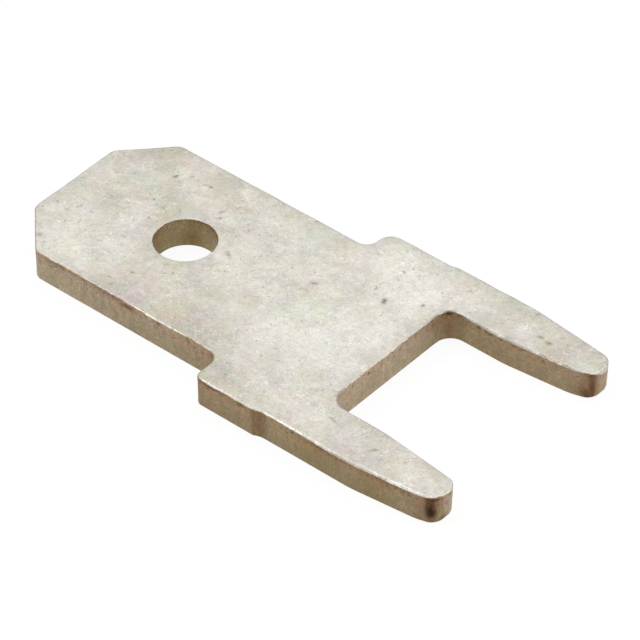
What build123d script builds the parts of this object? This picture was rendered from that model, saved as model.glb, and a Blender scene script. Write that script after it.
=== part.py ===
from build123d import *
import os

# A flat two-legged spade terminal, blanked in one stroke from plated brass strip.
# All sizes are in millimetres. The terminal lies flat: +X runs from the nose to
# the leg tips, +Y across the tab and +Z out of the face that the punch entered.
# The origin is under the middle of its length, on the tab's centreline, at the
# lower face.

# Strip
sheet_thickness = 0.77
punch_side_roll = 0.05
burr_side_break = 0.02

# Tab that the receptacle slides over
tab_width = 4.75
tab_length = 6.48
nose_chamfer_length = 1.06
nose_chamfer_width = 1.11
nose_corner_radius = 0.30

# Latching hole in the tab
hole_diameter = 1.42
hole_from_nose = 3.32

# Shoulders, cut off the carrier strip that once joined neighbouring terminals
shoulder_skew = 0.06
root_radius = 0.30
near_shoulder_radius = 0.18
far_shoulder_radius = 0.35
near_stub_length = 1.59
near_stub_proud = 0.07
far_stub_length = 1.86
far_stub_short = 0.05
cut_step_run = 0.15
cut_step_radius = 0.15

# Base between the shoulders' front and the edge that seats on the board
base_length = 2.66
crotch_radius = 0.40

# Legs that go through the board
leg_pitch = 5.08
leg_width = 1.16
leg_length = 3.77
near_leg_short = 0.07
leg_taper_length = 2.22
leg_tip_width = 0.71
leg_taper_blend_radius = 3.0
leg_tip_radius = 0.30

# Stations along the terminal
total_length = tab_length + base_length + leg_length
nose_x = -total_length / 2
hole_x = nose_x + hole_from_nose
shoulder_x = nose_x + tab_length
crotch_x = shoulder_x + base_length
tip_x = crotch_x + leg_length
taper_x = tip_x - leg_taper_length

# Distances from the centreline
tab_side_y = tab_width / 2
leg_centre_y = leg_pitch / 2
leg_outer_y = leg_centre_y + leg_width / 2
leg_inner_y = leg_centre_y - leg_width / 2
tip_outer_y = leg_centre_y + leg_tip_width / 2
tip_inner_y = leg_centre_y - leg_tip_width / 2


def side_corners(side, skew, shoulder_radius, stub_length, stub_y, leg_end_x):
    """Corners of one side from the nose to the crotch, each as x, y and corner radius.

    side is +1 or -1. The shoulder's front stands skew behind its drawn place. The
    stub is what is left of the carrier strip: it ends stub_length behind that place,
    stub_y from the centreline, and a short slanted cut joins it to the leg's outer
    edge. The leg ends at leg_end_x.
    """
    shoulder_front_x = shoulder_x + skew
    stub_end_x = shoulder_x + stub_length
    corners = [
        (nose_x, tab_side_y - nose_chamfer_width, nose_corner_radius),
        (nose_x + nose_chamfer_length, tab_side_y, nose_corner_radius),
        (shoulder_front_x, tab_side_y, root_radius),
        (shoulder_front_x, stub_y, shoulder_radius),
        (stub_end_x, stub_y, 0),
        (stub_end_x + cut_step_run, leg_outer_y, cut_step_radius),
        (taper_x, leg_outer_y, leg_taper_blend_radius),
        (leg_end_x, tip_outer_y, leg_tip_radius),
        (leg_end_x, tip_inner_y, leg_tip_radius),
        (taper_x, leg_inner_y, leg_taper_blend_radius),
        (crotch_x, leg_inner_y, crotch_radius),
    ]
    return [(x, side * y, radius) for x, y, radius in corners]


def blank_outline():
    """All corners of the blank in order: the far side forwards, the near side back."""
    far_stub_y = leg_outer_y - far_stub_short
    near_stub_y = leg_outer_y + near_stub_proud
    near_tip_x = tip_x - near_leg_short
    far_side = side_corners(
        1, shoulder_skew, far_shoulder_radius, far_stub_length, far_stub_y, tip_x
    )
    near_side = side_corners(
        -1, -shoulder_skew, near_shoulder_radius, near_stub_length, near_stub_y, near_tip_x
    )
    return far_side + near_side[::-1]


def blank_face():
    """Flat face of the blank, with its corners rounded and the latching hole in it."""
    corners = blank_outline()
    with BuildSketch() as sketch:
        with BuildLine():
            Polyline([(x, y) for x, y, radius in corners], close=True)
        make_face()
        for x, y, radius in corners:
            if radius > 0:
                corner = sketch.vertices().sort_by_distance((x, y))[0]
                fillet(corner, radius)
        with Locations((hole_x, 0)):
            Circle(hole_diameter / 2, mode=Mode.SUBTRACT)
    return sketch.sketch


def spade_terminal():
    """Blank of full thickness, its upper edges rolled by the punch, its lower ones barely broken."""
    with BuildPart() as terminal:
        add(blank_face())
        extrude(amount=sheet_thickness)
        punch_face = terminal.faces().sort_by(Axis.Z)[-1]
        fillet(punch_face.edges(), punch_side_roll)
        burr_face = terminal.faces().sort_by(Axis.Z)[0]
        fillet(burr_face.edges(), burr_side_break)
    return terminal.part


os.makedirs("parts", exist_ok=True)
export_step(spade_terminal(), "parts/spade_terminal.step")
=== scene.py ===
import bmesh
import bpy
import numpy as np
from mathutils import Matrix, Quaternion, Vector


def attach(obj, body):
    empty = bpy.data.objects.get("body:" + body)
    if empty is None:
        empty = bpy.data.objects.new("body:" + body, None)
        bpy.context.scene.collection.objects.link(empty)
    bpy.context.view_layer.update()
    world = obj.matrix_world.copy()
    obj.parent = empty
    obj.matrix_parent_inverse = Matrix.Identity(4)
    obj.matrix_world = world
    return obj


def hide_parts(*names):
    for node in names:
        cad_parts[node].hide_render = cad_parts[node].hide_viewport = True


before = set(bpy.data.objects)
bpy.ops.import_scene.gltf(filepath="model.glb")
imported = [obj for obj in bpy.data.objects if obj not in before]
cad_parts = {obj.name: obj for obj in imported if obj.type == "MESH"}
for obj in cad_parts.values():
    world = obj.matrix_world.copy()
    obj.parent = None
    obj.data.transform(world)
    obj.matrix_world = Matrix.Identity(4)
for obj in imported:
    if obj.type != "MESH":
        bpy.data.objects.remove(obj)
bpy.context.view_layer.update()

# A flat spade terminal, blanked from tinned brass strip, lying on white.
# The plan is drawn in millimetres in the part's own frame: +X from the nose to
# the leg tips, +Y across the tab and +Z out of the upper face. The half on the
# +Y side is the far one. Meshes are in metres.
millimetre = 0.001

# Strip
sheet_thickness = 0.77
punch_side_roll = 0.05
burr_side_break = 0.02

# Tab with its latching hole
tab_width = 4.75
tab_length = 6.48
nose_chamfer_length = 1.06
nose_chamfer_width = 1.11
nose_corner_radius = 0.30
hole_diameter = 1.42
hole_from_nose = 3.32

# Shoulders with the stubs of the carrier strip
shoulder_skew = 0.06
root_radius = 0.30
near_shoulder_radius = 0.18
far_shoulder_radius = 0.35
near_stub_length = 1.59
near_stub_proud = 0.07
far_stub_length = 1.86
far_stub_short = 0.05
cut_step_run = 0.12
cut_step_radius = 0.50

# Base and legs
base_length = 2.66
crotch_radius = 0.40
leg_pitch = 5.08
leg_width = 1.16
leg_length = 3.77
near_leg_short = 0.07
leg_taper_length = 2.22
leg_tip_width = 0.71
leg_taper_blend_radius = 3.0
leg_tip_radius = 0.30

# Stations along the terminal and distances from its centreline
total_length = tab_length + base_length + leg_length
nose_x = -total_length / 2
hole_x = nose_x + hole_from_nose
shoulder_x = nose_x + tab_length
crotch_x = shoulder_x + base_length
tip_x = crotch_x + leg_length
taper_x = tip_x - leg_taper_length
tab_side = tab_width / 2
leg_centre = leg_pitch / 2
leg_outer = leg_centre + leg_width / 2
leg_inner = leg_centre - leg_width / 2
tip_outer = leg_centre + leg_tip_width / 2
tip_inner = leg_centre - leg_tip_width / 2
near_stub_side = leg_outer + near_stub_proud
far_stub_side = leg_outer - far_stub_short
near_tip_x = tip_x - near_leg_short

# Fineness of the mesh: points along each stretch of edge, rows across a face
nose_points = 76
hole_points = 61
base_points = 130
crotch_points = 40
leg_points = 110
face_rows = 42
roll_rows = 7
wall_rows = 15
break_rows = 4
arc_points = 24

# How far the real edges and faces stray from the drawn ones. The marks are pressed in above
# mark_zone, a share of the way up from the sheet's middle to its upper face.
roll_variation = 0.25
roll_wave_length = 0.45
inner_roll_share = 0.55
inner_roll_run_in = 0.1
inner_roll_width = 0.2
wall_streak_depth = 0.002
fine_streak_width = 0.11
broad_streak_width = 0.30
fine_streak_share = 0.6
hollow_skew = 0.8
tear_lean = 0.003
tip_tear_lean = 0.03
tip_lean_growth = 1.5
tip_break_growth = 0.09
tip_wear_length = 0.70
rim_shade_width = 0.28
face_waviness = 0.004
face_wave_length = 0.9
mark_depth = 0.008
mark_zone = 0.7
lattice_size = 128
merge_distance = 0.002

# How far below the upper face the tin comes: on the tab, on the stubs and on the legs, how little
# it ever is, and how ragged its end is
edge_tin_reach = 0.012
stub_tin_reach = 0.042
stub_tin_start = shoulder_x - 0.5
stub_tin_full = shoulder_x + 0.3
leg_tin_reach = 0.075
leg_tin_start = crotch_x + 0.2
leg_tin_full = crotch_x + 0.9
least_tin_reach = 0.008
tin_raggedness = 0.09

# Heights between which the upper face gives way to its rolled edge, the wall to the upper part of
# the sheet, and the broken lower edge to the tin of the lower face
over_face = sheet_thickness + 0.004
under_face = sheet_thickness - 0.006
on_roll = sheet_thickness - 0.02
upper_side_start = 0.6 * sheet_thickness
upper_side_full = 0.8 * sheet_thickness
lower_tin_full = 0.2 * burr_side_break

# Heights between which the torn band gives way to the burnished one, how much that border wavers,
# and heights between which the specks come in
torn_band_top = 0.40 * sheet_thickness
burnished_band_foot = 0.65 * sheet_thickness
border_waver = 0.4
specks_start = 0.55 * sheet_thickness
specks_full = 0.85 * sheet_thickness

# Values of the near_rim field between which the rim gives way to the face inside it
at_rim = 0.94
inside_rim = 0.86

# Screen colours of the metal, from 0 to 255
brown_tin = (198, 192, 178)
pale_tin = (234, 231, 222)
dark_mark = (70, 62, 54)
brown_torn_brass = (141, 119, 70)
pale_torn_brass = (194, 179, 151)
brown_burnished_brass = (154, 123, 77)
pale_burnished_brass = (201, 180, 155)
# Brown and black of the stains, also used for the painted shadow at the near shoulder
brown_stain_and_shade = (108, 64, 18)
black_stain_and_shade = (40, 25, 4)

# Tints laid over the metal here and there: the share where they are fullest, and the screen colour
tin_dots = (0.5, (112, 108, 98))
# The glints are painted highlights: near white flecks laid into the tin's colour
painted_tin_glints = (0.6, (252, 251, 246))
# The rubbed tin is a painted highlight: near white laid on the rubbed stretches of the rolled edge
painted_rubbed_highlight = (0.7, (252, 250, 245))
near_rim_tint = (0.11, (104, 96, 80))
# The far rim tint is painted shade: a grey over the tin of the rims that face the far side
far_rim_painted_shade = (0.6, (128, 128, 118))
golden_tint = (0.35, (158, 137, 42))
brass_specks = (0.6, (70, 48, 26))
tin_hue_share = 0.21
brass_hue_share = 0.13

# Tones at which tin and brass are palest, or below 0 brownest, and the most that the tin's clouds
# add or take
full_tin_tone = 1.6
full_brass_tone = 1.5
cloud_tone = 1.5

# Darker mottling, each layer a noise's patches to the millimetre, detail, roughness and swirl,
# the noise's levels where the shade is full and where it is gone, its share and its screen colour.
# The tin has blotches, smears, patches and grain. The brass has upright streaks, patches and flecks.
tin_mottling = [
    (5.0, 4.0, 0.75, 0.8, 0.42, 0.58, 0.11, (112, 110, 102)),
    (3.2, 6.0, 0.72, 1.2, 0.36, 0.62, 0.10, (118, 114, 98)),
    (9.0, 3.0, 0.70, 0.8, 0.40, 0.58, 0.07, (110, 107, 98)),
    (26.0, 2.0, 0.70, 0.0, 0.30, 0.70, 0.08, (108, 105, 98)),
]
brass_streaks = [
    (7.0, 4.0, 0.60, 0.5, 0.30, 0.70, 0.18, (96, 74, 48)),
]
brass_mottling = [
    (6.0, 4.0, 0.70, 1.0, 0.35, 0.65, 0.20, (90, 72, 44)),
    (17.0, 3.0, 0.70, 0.0, 0.35, 0.65, 0.30, (84, 68, 42)),
]

# How far the dots' pattern is moved away from the clouds', and how the streaks' is drawn out upright
dot_shift = (7.3, 2.1, 0.4)
streak_squeeze = (1, 1, 0.15)

# Levels of a noise where dots, painted glint highlights, their groups, specks and the speckle of the
# stains and painted shadow are gone and where they are full, and what is left of them where the speckle
# is gone
dot_levels = (0.33, 0.25)
glint_levels = (0.57, 0.72)
glint_group_levels = (0.30, 0.65)
speck_levels = (0.45, 0.37)
speckle_levels = (0.2, 0.55)
least_stain_and_shade = 0.75

# Strengths of the stains and the painted shadow between which they turn from brown to black
black_start = 0.45
black_full = 1.1

# Rubbed edges, smoother and with a painted highlight: how much their places and a noise count, and
# their sum where the shine and the painted highlight are gone and where they are full
rubbed_and_highlit_weight = 0.35
rubbed_and_highlit_noise_weight = 1.8
rubbed_and_highlit_levels = (1.05, 1.35)

# Gloss and relief of the metal
metal_share = 0.75
tin_roughness = 0.45
rubbed_tin_roughness = 0.2
brass_roughness = 0.55
relief_depth = 0.011

# Camera of the photograph: its place and the point that it looks at, its tilt in degrees and its lens
camera_place = (53.73, -60.27, 70.58)
camera_target = (0.581, 0.181, 0.405)
camera_tilt = -0.893
sensor_width = 36
focal_length = 279.3

# Strength of the light from all round, the lamps' distance in metres, and the white ground
surrounding_light = 0.55
lamp_distance = 0.25
floor_half_width = 0.6
floor_colour = (0.98, 0.98, 0.98, 1)
floor_own_light = 1.04
floor_own_share = 0.88
white = (1, 1, 1, 1)

# Pits and scratches of the upper face: x, y, half length, half width, turn in degrees, depth
upper_marks = [
    (1.51, 1.22, 0.09, 0.05, -60, 1.0),
    (2.25, 1.63, 0.05, 0.03, -50, 1.0),
    (-0.03, 0.70, 0.09, 0.04, 30, 0.6),
    (-4.75, 1.49, 0.07, 0.03, 70, 1.0),
    (-3.90, 1.71, 0.04, 0.03, 0, 0.8),
    (-3.04, 1.04, 0.05, 0.03, 40, 0.7),
    (-3.15, 1.22, 0.10, 0.05, 60, 0.4),
    (-2.10, 0.24, 0.12, 0.03, -25, 0.7),
    (-5.71, -1.91, 0.08, 0.05, 10, 0.6),
    (-3.29, -1.55, 0.05, 0.03, 0, 0.5),
    (-4.23, 0.49, 0.05, 0.03, 20, 0.5),
    (2.32, -1.83, 0.11, 0.02, 40, 0.5),
    (3.13, -2.36, 0.16, 0.02, -12, 0.5),
    (4.39, -2.53, 0.13, 0.03, 52, 0.5),
    (4.82, 2.47, 0.07, 0.04, 0, 0.6),
    (5.08, 2.43, 0.08, 0.05, 15, 0.6),
    (4.31, 3.01, 0.05, 0.03, 0, 0.5),
    (2.79, 1.85, 0.12, 0.04, 45, 1.0),
]

# Paler and browner areas of the upper face: x, y, reach, and a tone above or below 0
upper_tones = [
    (-5.25, -1.85, 0.70, 0.9),
    (1.11, 2.20, 0.75, 0.9),
    (2.20, 1.75, 0.60, 0.9),
    (1.60, -0.30, 1.10, 0.9),
    (0.20, -1.00, 0.70, 0.5),
    (5.60, -2.55, 0.45, 0.2),
    (-5.55, 2.00, 0.60, -1.2),
    (-1.30, -2.05, 1.00, -1.1),
    (-3.00, -2.10, 0.80, -0.8),
    (0.40, -2.75, 0.60, -0.8),
    (-4.25, 0.75, 0.45, -0.9),
    (-3.70, 1.90, 0.60, -0.7),
    (-5.20, 0.20, 0.60, -0.7),
    (-2.30, 0.20, 0.50, 0.6),
    (3.80, 3.00, 0.60, -0.6),
    (4.20, -2.70, 0.80, -0.3),
    (5.60, 2.60, 0.60, -0.8),
]

# Paler and browner stretches of the cut edges, with painted shade in the hole: x, y, reach, and a tone
# above or below 0
edge_tones = [
    (-5.80, -2.00, 1.20, 0.8),
    (-4.00, -2.38, 1.30, 0.8),
    (-1.80, -2.38, 1.10, 0.4),
    (2.69, -1.60, 0.80, 1.2),
    (2.69, 0.10, 0.90, 0.8),
    (2.75, 1.85, 0.35, 0.1),
    (3.20, 1.96, 0.40, 0.5),
    (3.30, -3.12, 0.80, -0.5),
    (4.90, -3.05, 0.60, -0.4),
    (0.80, -3.19, 0.70, -0.3),
    (6.38, -2.42, 0.26, 1.3),
    (6.45, 2.66, 0.26, 0.4),
    # Painted shade of the hole: its whole wall browner
    (hole_x, 0.00, 0.80, -1.4),
    (hole_x + 0.15, 0.69, 0.30, 2.4),
    (hole_x - 0.60, 0.30, 0.35, 2.0),
    (0.00, -2.60, 0.25, -0.9),
]

# Stretches of the edge where the tin comes further or less far down: x, y, reach and how much
uneven_tin = [
    (-1.90, -2.38, 0.60, 0.025),
    (6.45, 2.65, 0.25, 0.110),
    (6.30, 2.22, 0.22, -0.070),
    (6.30, -2.76, 0.32, -0.065),
]

# Stretches of the rolled edge that are rubbed smooth and painted with a highlight: x, y, reach and how
# bright
rubbed_and_highlit_edges = [
    (0.55, -3.17, 0.45, 0.8),
    (2.30, -3.12, 0.50, 1.2),
    (3.30, -3.12, 0.50, 0.6),
    (5.55, -2.95, 0.65, 1.1),
    (-1.90, -2.38, 0.75, 1.2),
    (3.20, 1.96, 0.30, 0.4),
    (4.10, 1.96, 0.30, 0.3),
    (5.40, 2.13, 0.60, 0.6),
    (6.20, 2.22, 0.20, 0.7),
    (6.35, 2.27, 0.08, 1.2),
    (hole_x, -0.75, 0.60, 0.9),
]

# Stretches of the cut edges that are golden, as the hole is: x, y, reach and how much
golden_edges = [
    (3.15, 1.94, 0.60, 0.6),
]

# Stains of the cut edges, and one painted shadow: x, y, height, reach along, reach up and down, strength
edge_stains_and_shade = [
    (1.77, -3.13, 0.40, 0.17, 1.50, 0.57),
    (1.62, -3.19, 0.40, 0.03, 1.50, 0.80),
    (6.20, -2.86, 0.42, 0.18, 0.48, 0.98),
    (6.21, -2.85, 0.34, 0.15, 0.21, 1.18),
    (6.22, -2.85, 0.50, 0.36, 0.50, 0.45),
    (6.24, -2.84, 0.60, 0.12, 0.16, 0.85),
    (5.98, -2.89, 0.10, 0.20, 0.12, 0.45),
    (6.22, -2.82, 0.70, 0.26, 0.07, 1.00),
    (6.37, -2.66, 0.12, 0.16, 0.14, 0.70),
    (6.38, -2.55, 0.48, 0.05, 0.08, 0.50),
    (6.38, 2.28, 0.30, 0.15, 0.80, 0.78),
    (6.28, 2.20, 0.12, 0.26, 0.40, 0.76),
    (6.30, 2.22, 0.08, 0.16, 0.10, 0.90),
    (6.36, 2.27, 0.68, 0.14, 0.06, 0.90),
    (6.44, 2.82, 0.62, 0.11, 0.11, 0.90),
    (0.40, -3.19, 0.70, 0.35, 0.04, 1.00),
    (1.27, -3.19, 0.69, 0.14, 0.05, 0.80),
    # Painted shadow: the near stub's wall darker where it turns away at the shoulder's left end
    (-0.03, -3.02, 0.40, 0.16, 0.90, 0.70),
    (3.35, 1.96, 0.35, 0.45, 0.60, 0.12),
    (4.15, 1.96, 0.35, 0.50, 0.60, 0.07),
    (3.54, 1.96, 0.65, 0.06, 0.04, 0.90),
    (3.73, 1.96, 0.65, 0.05, 0.04, 0.90),
    (3.87, 1.96, 0.64, 0.04, 0.04, 0.80),
    (4.14, 1.96, 0.66, 0.05, 0.04, 0.80),
    (4.50, 1.96, 0.66, 0.06, 0.04, 0.80),
    (2.83, 1.85, 0.40, 0.25, 1.50, 0.50),
    (2.80, 1.84, 0.73, 0.16, 0.06, 1.00),
    (-5.90, -1.85, 0.72, 0.60, 0.06, 0.40),
    (-4.50, -2.38, 0.71, 1.00, 0.06, 0.40),
    (-3.20, -2.38, 0.71, 0.50, 0.07, 0.50),
    (-2.70, -2.38, 0.66, 0.22, 0.07, 0.80),
    (-1.78, -2.38, 0.72, 0.06, 0.05, 0.90),
    (hole_x, 0.40, 0.74, 0.60, 0.05, 0.50),
    (hole_x - 0.45, 0.55, 0.15, 0.30, 0.25, 0.38),
    (3.40, -3.12, 0.66, 0.40, 0.05, 0.50),
    (4.10, -3.12, 0.65, 0.30, 0.04, 0.40),
    (5.20, -3.00, 0.65, 0.60, 0.05, 0.45),
]


def unit(vector):
    """The same direction with length 1."""
    return vector / np.linalg.norm(vector)


def corner_arc(before, corner, after, radius):
    """Points of the arc that rounds one corner of a path.

    The arc starts radius * tan(half the turn) before the corner. Its centre lies one
    radius to the side that the path turns to, and each point is the centre, less that
    side * radius * cos(angle), plus the first run's direction * radius * sin(angle).
    """
    into = unit(corner - before)
    out = unit(after - corner)
    turn = np.arccos(np.clip(into @ out, -1, 1))
    side = np.sign(into[0] * out[1] - into[1] * out[0]) * np.array([-into[1], into[0]])
    centre = corner - into * radius * np.tan(turn / 2) + side * radius
    angle = np.linspace(0, turn, arc_points)[:, None]
    return centre - side * radius * np.cos(angle) + into * radius * np.sin(angle)


def evenly_spaced(points, count):
    """count points at equal distances along a run of points, by linear interpolation."""
    steps = np.linalg.norm(np.diff(points, axis=0), axis=1)
    travelled = np.concatenate([[0], np.cumsum(steps)])
    stations = np.linspace(0, travelled[-1], count)
    columns = [np.interp(stations, travelled, points[:, axis]) for axis in (0, 1)]
    return np.stack(columns, axis=1)


def rounded_run(corners, count):
    """count evenly spaced points along straight runs joined by arcs.

    Each corner is x, distance from the centreline and radius. The first and the last
    are the ends of the run and have no arc.
    """
    places = np.array([(x, out) for x, out, radius in corners], float)
    pieces = [places[:1]]
    for number in range(1, len(corners) - 1):
        radius = corners[number][2]
        pieces.append(corner_arc(*places[number - 1:number + 2], radius))
    pieces.append(places[-1:])
    return evenly_spaced(np.concatenate(pieces), count)


def joined(stretches):
    """Stretches of points end to end, with each shared end kept once."""
    return np.concatenate([stretch[:-1] for stretch in stretches[:-1]] + [stretches[-1]])


def outer_edge(skew, shoulder_radius, stub_length, stub_side, leg_end):
    """Edge of one half from the nose's middle round the shoulder to the tip's middle."""
    hole_front = hole_x - hole_diameter / 2
    hole_back = hole_x + hole_diameter / 2
    nose = [
        (nose_x, 0, 0),
        (nose_x, tab_side - nose_chamfer_width, nose_corner_radius),
        (nose_x + nose_chamfer_length, tab_side, nose_corner_radius),
        (hole_front, tab_side, 0),
    ]
    beside_hole = [(hole_front, tab_side, 0), (hole_back, tab_side, 0)]
    shoulder_front = shoulder_x + skew
    stub_end = shoulder_x + stub_length
    shoulder = [
        (hole_back, tab_side, 0),
        (shoulder_front, tab_side, root_radius),
        (shoulder_front, stub_side, shoulder_radius),
        (stub_end, stub_side, 0),
        (stub_end + cut_step_run, leg_outer, cut_step_radius),
        (crotch_x - crotch_radius, leg_outer, 0),
    ]
    beside_crotch = [
        (crotch_x - crotch_radius, leg_outer, 0),
        (crotch_x + crotch_radius, leg_outer, 0),
    ]
    leg = [
        (crotch_x + crotch_radius, leg_outer, 0),
        (taper_x, leg_outer, leg_taper_blend_radius),
        (leg_end, tip_outer, leg_tip_radius),
        (leg_end, leg_centre, 0),
    ]
    return joined([
        rounded_run(nose, nose_points),
        rounded_run(beside_hole, hole_points),
        rounded_run(shoulder, base_points),
        rounded_run(beside_crotch, crotch_points),
        rounded_run(leg, leg_points),
    ])


def inner_edge(leg_end):
    """Edge of one half from the middle of the crotch along the leg's inner side to the tip's middle."""
    crotch = [
        (crotch_x, 0, 0),
        (crotch_x, leg_inner, crotch_radius),
        (crotch_x + crotch_radius, leg_inner, 0),
    ]
    leg = [
        (crotch_x + crotch_radius, leg_inner, 0),
        (taper_x, leg_inner, leg_taper_blend_radius),
        (leg_end, tip_inner, leg_tip_radius),
        (leg_end, leg_centre, 0),
    ]
    return joined([rounded_run(crotch, crotch_points), rounded_run(leg, leg_points)])


def left_of_travel(points):
    """Unit vectors a quarter turn left of the path's direction at each point."""
    ahead = np.gradient(points, axis=0)
    left = np.stack([-ahead[:, 1], ahead[:, 0]], axis=1)
    return left / np.linalg.norm(left, axis=1, keepdims=True)


def half_hole():
    """Half circle of the hole's wall from front to back, with the directions out of the metal."""
    angle = np.linspace(np.pi, 0, hole_points)
    outward = np.stack([np.cos(angle), np.sin(angle)], axis=1)
    return np.array([hole_x, 0]) + hole_diameter / 2 * outward, -outward


def uneven(x, y, cell, seed):
    """Smooth random field between -1 and 1.

    Random heights stand on a square lattice of that cell. Between four of them the
    field is their mean, weighted by 3t^2 - 2t^3 of the distance along each side.
    """
    lattice = np.random.default_rng(seed).uniform(-1, 1, (lattice_size, lattice_size))
    column = np.floor(x / cell).astype(int)
    row = np.floor(y / cell).astype(int)
    across = x / cell - column
    along = y / cell - row
    across = across ** 2 * (3 - 2 * across)
    along = along ** 2 * (3 - 2 * along)

    def height(right, up):
        return lattice[(column + right) % lattice_size, (row + up) % lattice_size]

    lower = height(0, 0) * (1 - across) + height(1, 0) * across
    upper = height(0, 1) * (1 - across) + height(1, 1) * across
    return lower * (1 - along) + upper * along


def eased(value, start, end):
    """0 before start and 1 past end, eased between them as 3t^2 - 2t^3."""
    share = np.clip((value - start) / (end - start), 0, 1)
    return share ** 2 * (3 - 2 * share)


def round_hole(x, y):
    """1 at the hole's edge and just past it, easing to 0 a radius away."""
    past_edge = 0.52 * hole_diameter
    return 1 - eased(np.hypot(x - hole_x, y), past_edge, hole_diameter)


def roll_size(x, y):
    """Radius that the punch rolled at each place of the edge.

    It is smaller round the hole and between the legs, and it grows and shrinks a
    little all along.
    """
    past_crotch = eased(x, crotch_x - inner_roll_run_in, crotch_x)
    inside_legs = eased(leg_centre - np.abs(y), 0, inner_roll_width)
    smaller = np.maximum(past_crotch * inside_legs, round_hole(x, y))
    share = 1 - (1 - inner_roll_share) * smaller
    return punch_side_roll * share * (1 + roll_variation * uneven(x, y, roll_wave_length, seed=1))


def tin_reach(x, y):
    """How far below the upper face the tin comes.

    It is least on the tab and in the crotch, more on the stubs and most on the legs,
    and uneven_tin changes it here and there.
    """
    on_side = eased(np.abs(y), leg_inner, leg_centre)
    on_stub = eased(x, stub_tin_start, stub_tin_full) * on_side
    on_leg = eased(x, leg_tin_start, leg_tin_full)
    reach = edge_tin_reach + (stub_tin_reach - edge_tin_reach) * on_stub
    reach = reach + (leg_tin_reach - reach) * on_leg
    return reach + spots(x, y, round_areas(uneven_tin))


def near_rim(x, y, rim):
    """1 on the rim of the upper face, fading into it: e^-(distance / rim_shade_width)^2.

    Every second point of the rim is near enough for the distance.
    """
    nearest = np.full_like(x, np.inf)
    for rim_x, rim_y in rim[::2]:
        nearest = np.minimum(nearest, (x - rim_x) ** 2 + (y - rim_y) ** 2)
    return np.exp(-nearest / rim_shade_width ** 2)


def edge_section(edge, outward):
    """Grid of points, rows down the edge by stations along it.

    The rows follow the edge's section: a quarter circle that the punch rolled, the
    sheared wall and a small quarter circle at the burr side. Each point is the drawn
    edge moved into the metal by the section's depth there. The wall has upright
    streaks and leans in towards the burr side, most at the worn tips, where the burr
    side is rounder too.
    """
    x, y = edge[:, 0], edge[:, 1]
    wear = eased(x, tip_x - tip_wear_length, tip_x)
    roll = roll_size(x, y)
    quarter = np.radians(np.linspace(0, 90, roll_rows))[:, None]
    roll_depth = roll * (1 - np.sin(quarter))
    roll_height = sheet_thickness - roll * (1 - np.cos(quarter))

    down = np.linspace(0, 1, wall_rows + 2)[1:-1, None]
    fine_streaks = uneven(x, y, fine_streak_width, seed=2)
    broad_streaks = uneven(x, y, broad_streak_width, seed=3)
    streaks = fine_streak_share * fine_streaks + (1 - fine_streak_share) * broad_streaks + 1
    hollow_shape = np.sin(np.pi * down ** hollow_skew)
    hollow = (wall_streak_depth * streaks + tear_lean * down) * hollow_shape
    wall_depth = hollow + tip_tear_lean * wear * down ** tip_lean_growth
    break_radius = burr_side_break + tip_break_growth * wear
    wall_top = sheet_thickness - roll
    wall_height = wall_top - down * (wall_top - break_radius)

    quarter = np.radians(np.linspace(0, 90, break_rows))[:, None]
    break_depth = tip_tear_lean * wear + break_radius * (1 - np.cos(quarter))
    break_height = break_radius * (1 - np.sin(quarter))

    depth = np.concatenate([roll_depth, wall_depth, break_depth])[..., None]
    height = np.concatenate([roll_height, wall_height, break_height])[..., None]
    plan = edge - outward * depth
    return np.concatenate([plan, height], axis=2)


def broad_face(outer_rim, hole_rim, inner_rim):
    """Grid ruled straight across one half of a broad face, from its inner to its outer rim.

    The inner rim is the centreline up to the hole, the hole's half, the centreline on
    to the crotch, and the rim of the crotch and the leg's inner side.
    """
    ahead_of_hole = np.linspace(outer_rim[0], hole_rim[0], nose_points)
    behind_hole = np.linspace(hole_rim[-1], inner_rim[0], base_points)
    inside = joined([ahead_of_hole, hole_rim, behind_hole, inner_rim])
    across = np.linspace(0, 1, face_rows)[:, None, None]
    return inside + (outer_rim - inside) * across


def half_blank(side, skew, shoulder_radius, stub_length, stub_side, leg_end):
    """Grids of one half: three stretches of edge and the two broad faces."""
    outer = outer_edge(skew, shoulder_radius, stub_length, stub_side, leg_end)
    inner = inner_edge(leg_end)
    hole, from_hole = half_hole()
    mirror = np.array([1, side])
    outer_section = edge_section(outer * mirror, left_of_travel(outer) * mirror)
    inner_section = edge_section(inner * mirror, -left_of_travel(inner) * mirror)
    hole_section = edge_section(hole * mirror, from_hole * mirror)
    upper = broad_face(outer_section[0], hole_section[0], inner_section[0])
    lower = broad_face(outer_section[-1], hole_section[-1], inner_section[-1])
    return [outer_section, inner_section, hole_section, upper, lower]


def grid_corners(rows, columns, first):
    """Vertex numbers of each quad of a grid whose vertices are numbered from first, row by row."""
    number = first + np.arange(rows * columns).reshape(rows, columns)
    quads = [number[:-1, :-1], number[1:, :-1], number[1:, 1:], number[:-1, 1:]]
    return np.stack(quads, axis=-1).reshape(-1, 4)


def closed_mesh(name, grids):
    """One closed mesh of several grids, with the points that they share merged."""
    points = []
    quads = []
    first = 0
    for grid in grids:
        rows, columns = grid.shape[:2]
        points.append(grid.reshape(-1, 3))
        quads.append(grid_corners(rows, columns, first))
        first += rows * columns
    mesh = bpy.data.meshes.new(name)
    points = np.concatenate(points) * millimetre
    mesh.from_pydata(points.tolist(), [], np.concatenate(quads).tolist())
    shell = bmesh.new()
    shell.from_mesh(mesh)
    bmesh.ops.remove_doubles(shell, verts=shell.verts, dist=merge_distance * millimetre)
    bmesh.ops.recalc_face_normals(shell, faces=shell.faces)
    shell.to_mesh(mesh)
    shell.free()
    mesh.shade_smooth()
    return mesh


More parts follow.
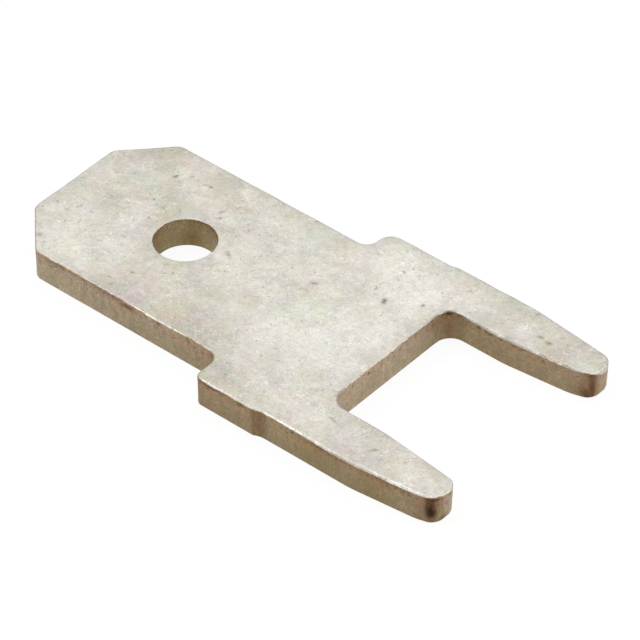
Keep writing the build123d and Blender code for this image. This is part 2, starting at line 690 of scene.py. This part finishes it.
def spots(x, y, marks):
    """Sum of oval bell curves: each is its strength at its middle and e^-1 of that at its half axes."""
    total = np.zeros_like(x)
    for centre_x, centre_y, half_length, half_width, turn, strength in marks:
        lengthwise = np.array([np.cos(np.radians(turn)), np.sin(np.radians(turn))])
        along = (x - centre_x) * lengthwise[0] + (y - centre_y) * lengthwise[1]
        across = (y - centre_y) * lengthwise[0] - (x - centre_x) * lengthwise[1]
        total += strength * np.exp(-(along / half_length) ** 2 - (across / half_width) ** 2)
    return total


def edge_spots(x, y, z, stains):
    """Strongest of several bell curves, each with its own reach along the edge and up and down it."""
    darkest = np.zeros_like(x)
    for centre_x, centre_y, centre_z, reach, rise, strength in stains:
        away = np.hypot(x - centre_x, y - centre_y) / reach
        darkest = np.maximum(darkest, strength * np.exp(-away ** 2 - ((z - centre_z) / rise) ** 2))
    return darkest


def round_areas(areas):
    """The same list for spots: x, y, both half axes the reach, no turn, and the tone."""
    return [(x, y, reach, reach, 0, tone) for x, y, reach, tone in areas]


def vertex_places(mesh):
    """All vertices in millimetres, one row each."""
    places = np.empty(len(mesh.vertices) * 3)
    mesh.vertices.foreach_get("co", places)
    return places.reshape(-1, 3) / millimetre


def far_facing(mesh):
    """How far each vertex faces away to the far side, from 0 to 1."""
    normals = np.empty(len(mesh.vertices) * 3)
    mesh.vertices.foreach_get("normal", normals)
    return np.clip(normals.reshape(-1, 3)[:, 1], 0, 1)


def write_attribute(mesh, name, values):
    """One number on each vertex, for the material to read."""
    layer = mesh.attributes.new(name, "FLOAT", "POINT")
    layer.data.foreach_set("value", values.astype(np.float32))


def press_marks(mesh, rim):
    """Sinks the marks and a slight waviness into the faces, and notes for the material the wear, tones,
    stains, painted shade and painted highlights.

    A face only sinks, so that nothing stands out of the sheet. How much a vertex
    follows its face fades to nothing halfway down the edge. The marks are in the
    upper face alone.
    """
    x, y, z = vertex_places(mesh).T
    upward = np.clip(2 * z / sheet_thickness - 1, 0, 1)
    downward = np.clip(1 - 2 * z / sheet_thickness, 0, 1)
    on_upper_face = upward > mark_zone
    marks = np.clip(spots(x, y, upper_marks), 0, 1) * on_upper_face
    wave = face_waviness * (1 + uneven(x, y, face_wave_length, seed=5)) / 2
    lower_wave = face_waviness * (1 + uneven(x, y, face_wave_length, seed=6)) / 2
    sunk = z - upward * (wave + mark_depth * marks) + downward * lower_wave
    places = np.stack([x, y, sunk], axis=1) * millimetre
    mesh.vertices.foreach_set("co", places.ravel())
    at_hole = round_hole(x, y)
    golden = np.maximum(at_hole, spots(x, y, round_areas(golden_edges)))
    write_attribute(mesh, "mark", marks)
    write_attribute(mesh, "tone", spots(x, y, round_areas(upper_tones)) * upward)
    # Painted shade on the rims that face the far side, kept off the hole
    write_attribute(mesh, "far_rim_shade", far_facing(mesh) * upward * (1 - at_hole))
    write_attribute(mesh, "golden", golden)
    write_attribute(mesh, "tin_reach", tin_reach(x, y))
    write_attribute(mesh, "near_rim", near_rim(x, y, rim))
    # Rubbed stretches of the rolled edge: smoother, and with a painted highlight
    write_attribute(mesh, "rubbed_and_highlit", spots(x, y, round_areas(rubbed_and_highlit_edges)))
    # Tones of the cut edges, with the painted shade of the hole
    write_attribute(mesh, "edge_tone", spots(x, y, round_areas(edge_tones)))
    # Stains of the cut edges, with one painted shadow among them
    write_attribute(mesh, "edge_stain_and_shade", edge_spots(x, y, z, edge_stains_and_shade))
    mesh.update()


def spade_terminal_mesh():
    """The whole blank: both halves as one closed shell with its marks."""
    far_half = half_blank(
        1, shoulder_skew, far_shoulder_radius, far_stub_length, far_stub_side, tip_x
    )
    near_half = half_blank(
        -1, -shoulder_skew, near_shoulder_radius, near_stub_length, near_stub_side, near_tip_x
    )
    mesh = closed_mesh("spade_terminal", far_half + near_half)
    rims = [section[0, :, :2] for half in (far_half, near_half) for section in half[:3]]
    press_marks(mesh, np.concatenate(rims))
    return mesh


def colour(screen):
    """Linear colour of a screen colour given from 0 to 255, by the usual screen curve."""
    screen = np.array(screen) / 255
    linear = np.where(screen > 0.04045, ((screen + 0.055) / 1.055) ** 2.4, screen / 12.92)
    return (*linear.tolist(), 1.0)


class NodeTree:
    """Short ways to add and join the nodes of a material or of the world."""

    def __init__(self, owner):
        owner.use_nodes = True
        self.nodes = owner.node_tree.nodes
        self.links = owner.node_tree.links

    def add(self, kind, inputs=(), **settings):
        """A node with its settings, and each input joined to a socket or set to a value."""
        node = self.nodes.new(kind)
        for key, value in settings.items():
            setattr(node, key, value)
        for key, value in dict(inputs).items():
            self.fill(node.inputs[key], value)
        return node

    def fill(self, socket, value):
        """Joins an output to the socket, or sets the socket's own value."""
        if isinstance(value, bpy.types.NodeSocket):
            self.links.new(value, socket)
        else:
            socket.default_value = value

    def number(self, operation, first, second, third=0.0):
        """Result of one sum on two numbers, or on three for MULTIPLY_ADD."""
        inputs = {0: first, 1: second, 2: third}
        return self.add("ShaderNodeMath", inputs, operation=operation).outputs[0]

    def ramp(self, value, low, high):
        """0 at low and 1 at high, eased between them and level beyond. Either may be the greater."""
        inputs = {"Value": value, "From Min": low, "From Max": high}
        node = self.add("ShaderNodeMapRange", inputs, interpolation_type="SMOOTHSTEP")
        return node.outputs["Result"]

    def mix(self, share, first, second, way="MIX"):
        """first where share is 0 and second, laid over it in some way, where it is 1, for colours."""
        inputs = {0: share, 6: first, 7: second}
        return self.add("ShaderNodeMix", inputs, data_type="RGBA", blend_type=way).outputs[2]

    def blend(self, share, first, second):
        """first where share is 0 and second where it is 1, for numbers."""
        inputs = {0: share, 2: first, 3: second}
        return self.add("ShaderNodeMix", inputs, data_type="FLOAT").outputs[0]

    def noise(self, place, scale, detail=2.0, roughness=0.5, swirl=0.0, output="Fac"):
        """Cloudy pattern around 0.5, or grey as a Color output, with scale patches to the millimetre."""
        inputs = {
            "Vector": place,
            "Scale": scale,
            "Detail": detail,
            "Roughness": roughness,
            "Distortion": swirl,
        }
        return self.add("ShaderNodeTexNoise", inputs).outputs[output]

    def attribute(self, name):
        """The number that the mesh holds under that name."""
        return self.add("ShaderNodeAttribute", attribute_name=name).outputs["Fac"]

    def moved(self, place, **change):
        """The place after a Mapping node with that Location or Scale."""
        return self.add("ShaderNodeMapping", {"Vector": place, **change}).outputs["Vector"]

    def tinted(self, base, amount, tint):
        """The base colour with the tint laid over it: its full share where the amount is 1."""
        share, shade = tint
        return self.mix(self.number("MULTIPLY", amount, share), base, colour(shade))

    def mottled(self, base, place, layers):
        """The base colour with each layer's share of its shade where the layer's noise is low."""
        for scale, detail, roughness, swirl, full, gone, share, shade in layers:
            bare = self.ramp(self.noise(place, scale, detail, roughness, swirl), full, gone)
            base = self.mix(bare, self.mix(share, base, colour(shade)), base)
        return base


def tin_colour(tree, place):
    """Matt tin: paler and browner areas, hues, mottling, dots, painted glint highlights in groups, rims
    with a painted shade on the far ones, and marks.
    """
    clouds = tree.noise(place, scale=1.6, detail=4.0, roughness=0.65)
    clouds = tree.number("MULTIPLY_ADD", clouds, 2 * cloud_tone, -cloud_tone)
    tone = tree.number("ADD", tree.attribute("tone"), clouds)
    paleness = tree.ramp(tone, -full_tin_tone, full_tin_tone)
    tin = tree.mix(paleness, colour(brown_tin), colour(pale_tin))
    hues = tree.noise(place, scale=1.8, detail=5.0, roughness=0.55, swirl=0.6, output="Color")
    tin = tree.mix(tin_hue_share, tin, hues, "OVERLAY")
    tin = tree.mottled(tin, place, tin_mottling)

    shifted = tree.moved(place, Location=dot_shift)
    dots = tree.noise(shifted, scale=11.0, detail=1.0, roughness=0.5, swirl=1.0)
    tin = tree.tinted(tin, tree.ramp(dots, *dot_levels), tin_dots)
    groups = tree.noise(shifted, scale=2.2, detail=2.0, roughness=0.5)
    # Painted highlights: white glints in the tin's colour, only within the groups
    painted_glints = tree.noise(shifted, scale=11.0, detail=2.0, roughness=0.6, swirl=1.5)
    in_groups = tree.ramp(groups, *glint_group_levels)
    painted_glints = tree.number("MULTIPLY", tree.ramp(painted_glints, *glint_levels), in_groups)
    tin = tree.tinted(tin, painted_glints, painted_tin_glints)

    tin = tree.tinted(tin, tree.attribute("near_rim"), near_rim_tint)
    # Painted shade on the rims that face the far side
    tin = tree.tinted(tin, tree.attribute("far_rim_shade"), far_rim_painted_shade)
    return tree.mix(tree.attribute("mark"), tin, colour(dark_mark))


def brass_colour(tree, place, height):
    """Sheared brass: a redder burnished band over an olive torn one.

    Over the bands lie hues, a golden tint, upright streaks, patches, flecks, specks
    high up, the stains and a painted shadow. A weak one is a reddish brown, and a
    strong one goes on to nearly black.
    """
    paleness = tree.ramp(tree.attribute("edge_tone"), -full_brass_tone, full_brass_tone)
    torn = tree.mix(paleness, colour(brown_torn_brass), colour(pale_torn_brass))
    burnished = tree.mix(paleness, colour(brown_burnished_brass), colour(pale_burnished_brass))
    upright = tree.moved(place, Scale=streak_squeeze)
    border = tree.noise(upright, scale=3.0, detail=3.0)
    border = tree.number("MULTIPLY_ADD", border, border_waver, -border_waver / 2)
    above_border = tree.number("ADD", height, border)
    burnished_share = tree.ramp(above_border, torn_band_top, burnished_band_foot)
    brass = tree.mix(burnished_share, torn, burnished)
    hues = tree.noise(place, scale=3.0, detail=3.0, roughness=0.6, swirl=0.6, output="Color")
    brass = tree.mix(brass_hue_share, brass, hues, "OVERLAY")
    brass = tree.tinted(brass, tree.attribute("golden"), golden_tint)
    brass = tree.mottled(brass, upright, brass_streaks)
    brass = tree.mottled(brass, place, brass_mottling)

    high_up = tree.ramp(height, specks_start, specks_full)
    specks = tree.noise(place, scale=10.0, detail=3.0, roughness=0.7, swirl=0.5)
    specks = tree.number("MULTIPLY", tree.ramp(specks, *speck_levels), high_up)
    brass = tree.tinted(brass, specks, brass_specks)

    speckle = tree.noise(place, scale=16.0, detail=2.0, roughness=0.6)
    speckle = tree.blend(tree.ramp(speckle, *speckle_levels), least_stain_and_shade, 1.0)
    # The stains, and the painted shadow among them, darken the brass to brown and then black
    stain_and_shade = tree.number("MULTIPLY", tree.attribute("edge_stain_and_shade"), speckle)
    brass = tree.mix(stain_and_shade, brass, colour(brown_stain_and_shade))
    return tree.mix(tree.ramp(stain_and_shade, black_start, black_full), brass, colour(black_stain_and_shade))


def tin_cover(tree, place, height, upper_side):
    """1 where tin covers the brass: on both faces, and on the roll down to a ragged line."""
    ragged = tree.noise(place, scale=4.5, detail=5.0, roughness=0.7)
    ragged = tree.number("MULTIPLY_ADD", ragged, tin_raggedness, -tin_raggedness / 2)
    reach = tree.number("ADD", ragged, tree.attribute("tin_reach"))
    reach = tree.number("MAXIMUM", reach, least_tin_reach)
    on_edge = tree.ramp(tree.number("ADD", height, reach), under_face, over_face)
    off_rim = tree.ramp(tree.attribute("near_rim"), at_rim, inside_rim)
    on_face = tree.number("MULTIPLY", off_rim, upper_side)
    under_break = tree.ramp(height, burr_side_break, lower_tin_full)
    return tree.number("MAXIMUM", tree.number("MAXIMUM", on_edge, on_face), under_break)


def rubbed_gloss_and_highlight(tree, place, height, upper_side):
    """1 where the rolled edge is rubbed smooth and has a painted highlight, in broken stretches, and 0
    elsewhere.
    """
    broken = tree.noise(place, scale=6.0, detail=4.0, roughness=0.7)
    broken = tree.number("MULTIPLY", broken, rubbed_and_highlit_noise_weight)
    rubbed_and_highlit = tree.number("MULTIPLY_ADD", tree.attribute("rubbed_and_highlit"), rubbed_and_highlit_weight, broken)
    rolled = tree.number("MULTIPLY", tree.ramp(height, under_face, on_roll), upper_side)
    return tree.number("MULTIPLY", tree.ramp(rubbed_and_highlit, *rubbed_and_highlit_levels), rolled)


def metal_relief(tree, place):
    """Normals of a surface with fine and broad bumps."""
    fine = tree.noise(place, scale=16.0, detail=3.0, roughness=0.7)
    broad = tree.noise(place, scale=6.0, detail=3.0, roughness=0.6)
    relief = tree.number("ADD", fine, broad)
    inputs = {"Height": relief, "Distance": relief_depth * millimetre, "Strength": 1.0}
    return tree.add("ShaderNodeBump", inputs).outputs["Normal"]


def tinned_brass():
    """Matt tin on the faces and rolled edges, bare sheared brass on the walls between them."""
    material = bpy.data.materials.new("tinned_brass")
    tree = NodeTree(material)
    in_metres = tree.add("ShaderNodeTexCoord").outputs["Object"]
    place = tree.moved(in_metres, Scale=(1 / millimetre,) * 3)
    height = tree.add("ShaderNodeSeparateXYZ", {"Vector": place}).outputs["Z"]
    upper_side = tree.ramp(height, upper_side_start, upper_side_full)
    cover = tin_cover(tree, place, height, upper_side)
    polish_and_highlight = rubbed_gloss_and_highlight(tree, place, height, upper_side)

    brass = brass_colour(tree, place, height)
    # The rubbed stretches get a painted highlight in the tin's colour and a lower roughness
    tin = tree.tinted(tin_colour(tree, place), polish_and_highlight, painted_rubbed_highlight)
    roughness = tree.blend(polish_and_highlight, tin_roughness, rubbed_tin_roughness)
    shader = tree.nodes["Principled BSDF"].inputs
    tree.fill(shader["Base Color"], tree.mix(cover, brass, tin))
    tree.fill(shader["Roughness"], tree.blend(cover, brass_roughness, roughness))
    tree.fill(shader["Metallic"], metal_share)
    tree.fill(shader["Normal"], metal_relief(tree, place))
    return material


def seen_directly(tree):
    """1 for what the camera, a reflection or clear material shows, and 0 for what lights a surface."""
    rays = tree.add("ShaderNodeLightPath").outputs
    seen = tree.number("MAXIMUM", rays["Is Camera Ray"], rays["Is Glossy Ray"])
    return tree.number("MAXIMUM", seen, rays["Is Transmission Ray"])


def white_ground():
    """White that keeps a soft shadow: mostly its own light, and the rest what falls on it."""
    material = bpy.data.materials.new("white_ground")
    tree = NodeTree(material)
    shader = tree.nodes["Principled BSDF"]
    tree.fill(shader.inputs["Base Color"], floor_colour)
    tree.fill(shader.inputs["Roughness"], 1.0)
    tree.fill(shader.inputs["Specular IOR Level"], 0.0)
    own_light = tree.add("ShaderNodeEmission", {"Color": white, "Strength": floor_own_light})
    share = tree.number("MULTIPLY", seen_directly(tree), floor_own_share)
    inputs = {0: share, 1: shader.outputs[0], 2: own_light.outputs[0]}
    surface = tree.add("ShaderNodeMixShader", inputs).outputs[0]
    tree.fill(tree.nodes["Material Output"].inputs["Surface"], surface)
    return material


def white_floor():
    """Wide flat square that the terminal lies on."""
    reach = floor_half_width
    corners = [(-reach, -reach, 0), (reach, -reach, 0), (reach, reach, 0), (-reach, reach, 0)]
    mesh = bpy.data.meshes.new("floor")
    mesh.from_pydata(corners, [], [(0, 1, 2, 3)])
    mesh.materials.append(white_ground())
    floor = bpy.data.objects.new("floor", mesh)
    bpy.context.scene.collection.objects.link(floor)


def white_surroundings():
    """Even pale light from all round, shown as pure white behind the object and in its metal."""
    world = bpy.data.worlds.new("surroundings")
    bpy.context.scene.world = world
    tree = NodeTree(world)
    light = tree.nodes["Background"]
    tree.fill(light.inputs["Color"], white)
    tree.fill(light.inputs["Strength"], surrounding_light)
    shown = tree.add("ShaderNodeBackground", {"Color": white})
    inputs = {0: seen_directly(tree), 1: light.outputs[0], 2: shown.outputs[0]}
    surface = tree.add("ShaderNodeMixShader", inputs).outputs[0]
    tree.fill(tree.nodes["World Output"].inputs["Surface"], surface)


def soft_lamp(name, direction, width, power):
    """Square lamp that faces the origin from a direction."""
    data = bpy.data.lights.new(name, "AREA")
    data.size = width
    data.energy = power
    lamp = bpy.data.objects.new(name, data)
    lamp.location = Vector(direction).normalized() * lamp_distance
    lamp.rotation_euler = (-lamp.location).to_track_quat("-Z", "Y").to_euler()
    bpy.context.scene.collection.objects.link(lamp)


def long_lens_camera():
    """Camera at the photograph's place: it looks at a point near the middle and is tilted a little."""
    data = bpy.data.cameras.new("camera")
    data.sensor_width = sensor_width
    data.lens = focal_length
    data.clip_start = 0.01
    camera = bpy.data.objects.new("camera", data)
    camera.location = Vector(camera_place) * millimetre
    target = Vector(camera_target) * millimetre
    aim = (target - camera.location).to_track_quat("-Z", "Y")
    tilt = Quaternion((0, 0, 1), np.radians(camera_tilt))
    camera.rotation_mode = "QUATERNION"
    camera.rotation_quaternion = aim @ tilt
    bpy.context.scene.collection.objects.link(camera)
    bpy.context.scene.camera = camera


long_lens_camera()
white_surroundings()
soft_lamp("overhead_softbox", direction=(-0.2, 0.3, 1.0), width=0.20, power=0.12)
soft_lamp("near_left_softbox", direction=(-0.52, -0.55, 0.70), width=0.07, power=0.12)
soft_lamp("right_softbox", direction=(0.95, 0.30, 0.25), width=0.12, power=0.16)
white_floor()

terminal = bpy.data.objects.new("terminal_blank", spade_terminal_mesh())
bpy.context.scene.collection.objects.link(terminal)
terminal.data.materials.append(tinned_brass())
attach(terminal, "root")
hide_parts("spade_terminal")

bpy.context.scene.view_settings.view_transform = "Standard"
